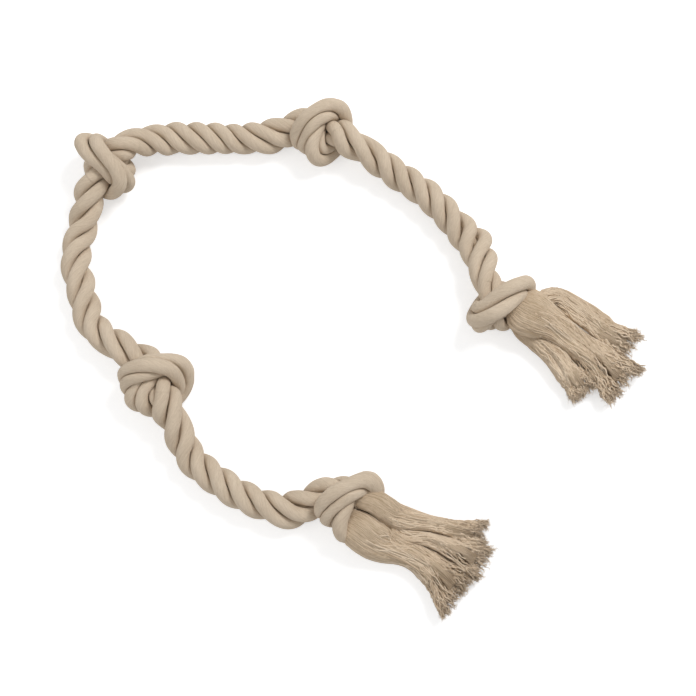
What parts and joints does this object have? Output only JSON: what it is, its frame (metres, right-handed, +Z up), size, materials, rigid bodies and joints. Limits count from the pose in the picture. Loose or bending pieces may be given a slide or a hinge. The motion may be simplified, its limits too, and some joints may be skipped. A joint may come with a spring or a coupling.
{
  "type": "rope dog toy",
  "caption": "Tug toy for dogs: a thick three-strand cotton rope tied in overhand knots, lying in a U, with a frayed tassel at each end.",
  "frame": {"origin": "middle of the bounding box, on the plane that the toy lies on", "axes": "+X to the right and +Y away from the viewer along the plane of the U, as the toy lies in the picture; +Z up"},
  "size_m": [0.4112, 0.3612, 0.0411],
  "materials": {
    "rope": "natural undyed cotton, laid in strands, matt with soft fibres",
    "yarn": "natural undyed cotton, unlaid into loose yarns, matt"
  },
  "bodies": {
    "knot_c": {"knot_c_strand_1": "rope", "knot_c_strand_2": "rope", "knot_c_strand_3": "rope"},
    "span_cd": {"span_cd_near_strand_1": "rope", "span_cd_near_strand_2": "rope", "span_cd_near_strand_3": "rope"},
    "knot_d": {"knot_d_strand_1": "rope", "knot_d_strand_2": "rope", "knot_d_strand_3": "rope", "span_cd_far_strand_1": "rope", "span_cd_far_strand_2": "rope", "span_cd_far_strand_3": "rope"},
    "span_de": {"span_de_near_strand_1": "rope", "span_de_near_strand_2": "rope", "span_de_near_strand_3": "rope"},
    "knot_e": {"knot_e_strand_1": "rope", "knot_e_strand_2": "rope", "knot_e_strand_3": "rope", "span_de_far_strand_1": "rope", "span_de_far_strand_2": "rope", "span_de_far_strand_3": "rope"},
    "span_bc": {"span_bc_near_strand_1": "rope", "span_bc_near_strand_2": "rope", "span_bc_near_strand_3": "rope"},
    "knot_b": {"knot_b_strand_1": "rope", "knot_b_strand_2": "rope", "knot_b_strand_3": "rope", "span_bc_far_strand_1": "rope", "span_bc_far_strand_2": "rope", "span_bc_far_strand_3": "rope"},
    "span_ab": {"span_ab_near_strand_1": "rope", "span_ab_near_strand_2": "rope", "span_ab_near_strand_3": "rope"},
    "knot_a": {"knot_a_strand_1": "rope", "knot_a_strand_2": "rope", "knot_a_strand_3": "rope", "span_ab_far_strand_1": "rope", "span_ab_far_strand_2": "rope", "span_ab_far_strand_3": "rope"},
    "tassel_a_bundle_1": {"tassel_a_bundle_1": "yarn"},
    "tassel_a_bundle_2": {"tassel_a_bundle_2": "yarn"},
    "tassel_a_bundle_3": {"tassel_a_bundle_3": "yarn"},
    "tassel_e_bundle_1": {"tassel_e_bundle_1": "yarn"},
    "tassel_e_bundle_2": {"tassel_e_bundle_2": "yarn"},
    "tassel_e_bundle_3": {"tassel_e_bundle_3": "yarn"}
  },
  "joints": [
    {"name": "lift_cd", "type": "hinge", "parent": "knot_c", "child": "span_cd", "pos_m": [-0.14801, 0.14983, 0.01517], "axis": [0.2654, -0.9641, 0], "range_deg": [-15, 15]},
    {"name": "swing_cd", "type": "hinge", "parent": "span_cd", "child": "knot_d", "pos_m": [-0.09655, 0.15464, 0.0115], "axis": [0, 0, 1], "range_deg": [-12, 25]},
    {"name": "lift_de", "type": "hinge", "parent": "knot_d", "child": "span_de", "pos_m": [-0.00315, 0.1509, 0.01916], "axis": [-0.5702, -0.8215, 0], "range_deg": [-15, 15]},
    {"name": "swing_de", "type": "hinge", "parent": "span_de", "child": "knot_e", "pos_m": [0.05649, 0.10929, 0.0115], "axis": [0, 0, 1], "range_deg": [-25, 25]},
    {"name": "lift_bc", "type": "hinge", "parent": "knot_c", "child": "span_bc", "pos_m": [-0.18522, 0.10948, 0.0195], "axis": [-0.931, 0.3649, 0], "range_deg": [-15, 15]},
    {"name": "swing_bc", "type": "hinge", "parent": "span_bc", "child": "knot_b", "pos_m": [-0.19083, 0.0419, 0.0115], "axis": [0, 0, 1], "range_deg": [-25, 12]},
    {"name": "lift_ab", "type": "hinge", "parent": "knot_b", "child": "span_ab", "pos_m": [-0.12489, -0.04404, 0.02128], "axis": [-0.9718, -0.2356, 0], "range_deg": [-15, 15]},
    {"name": "swing_ab", "type": "hinge", "parent": "span_ab", "child": "knot_a", "pos_m": [-0.08619, -0.09812, 0.0115], "axis": [0, 0, 1], "range_deg": [-25, 25]},
    {"name": "spread_tassel_a_1", "type": "hinge", "parent": "knot_a", "child": "tassel_a_bundle_1", "pos_m": [0.02101, -0.11445, 0.01935], "axis": [0, 0, 1], "range_deg": [0, 25]},
    {"name": "lift_tassel_a_2", "type": "hinge", "parent": "knot_a", "child": "tassel_a_bundle_2", "pos_m": [0.01972, -0.11699, 0.01134], "axis": [-0.4552, -0.8904, 0], "range_deg": [-6, 2]},
    {"name": "spread_tassel_a_3", "type": "hinge", "parent": "knot_a", "child": "tassel_a_bundle_3", "pos_m": [0.01586, -0.12453, 0.02088], "axis": [0, 0, 1], "range_deg": [-25, 0]},
    {"name": "spread_tassel_e_1", "type": "hinge", "parent": "knot_e", "child": "tassel_e_bundle_1", "pos_m": [0.12434, 0.0254, 0.0139], "axis": [0, 0, 1], "range_deg": [0, 25]},
    {"name": "lift_tassel_e_2", "type": "hinge", "parent": "knot_e", "child": "tassel_e_bundle_2", "pos_m": [0.12537, 0.01881, 0.02036], "axis": [0.1553, -0.9879, 0], "range_deg": [0, 30]},
    {"name": "spread_tassel_e_3", "type": "hinge", "parent": "knot_e", "child": "tassel_e_bundle_3", "pos_m": [0.12506, 0.02078, 0.00615], "axis": [0, 0, 1], "range_deg": [-25, 0]}
  ]
}
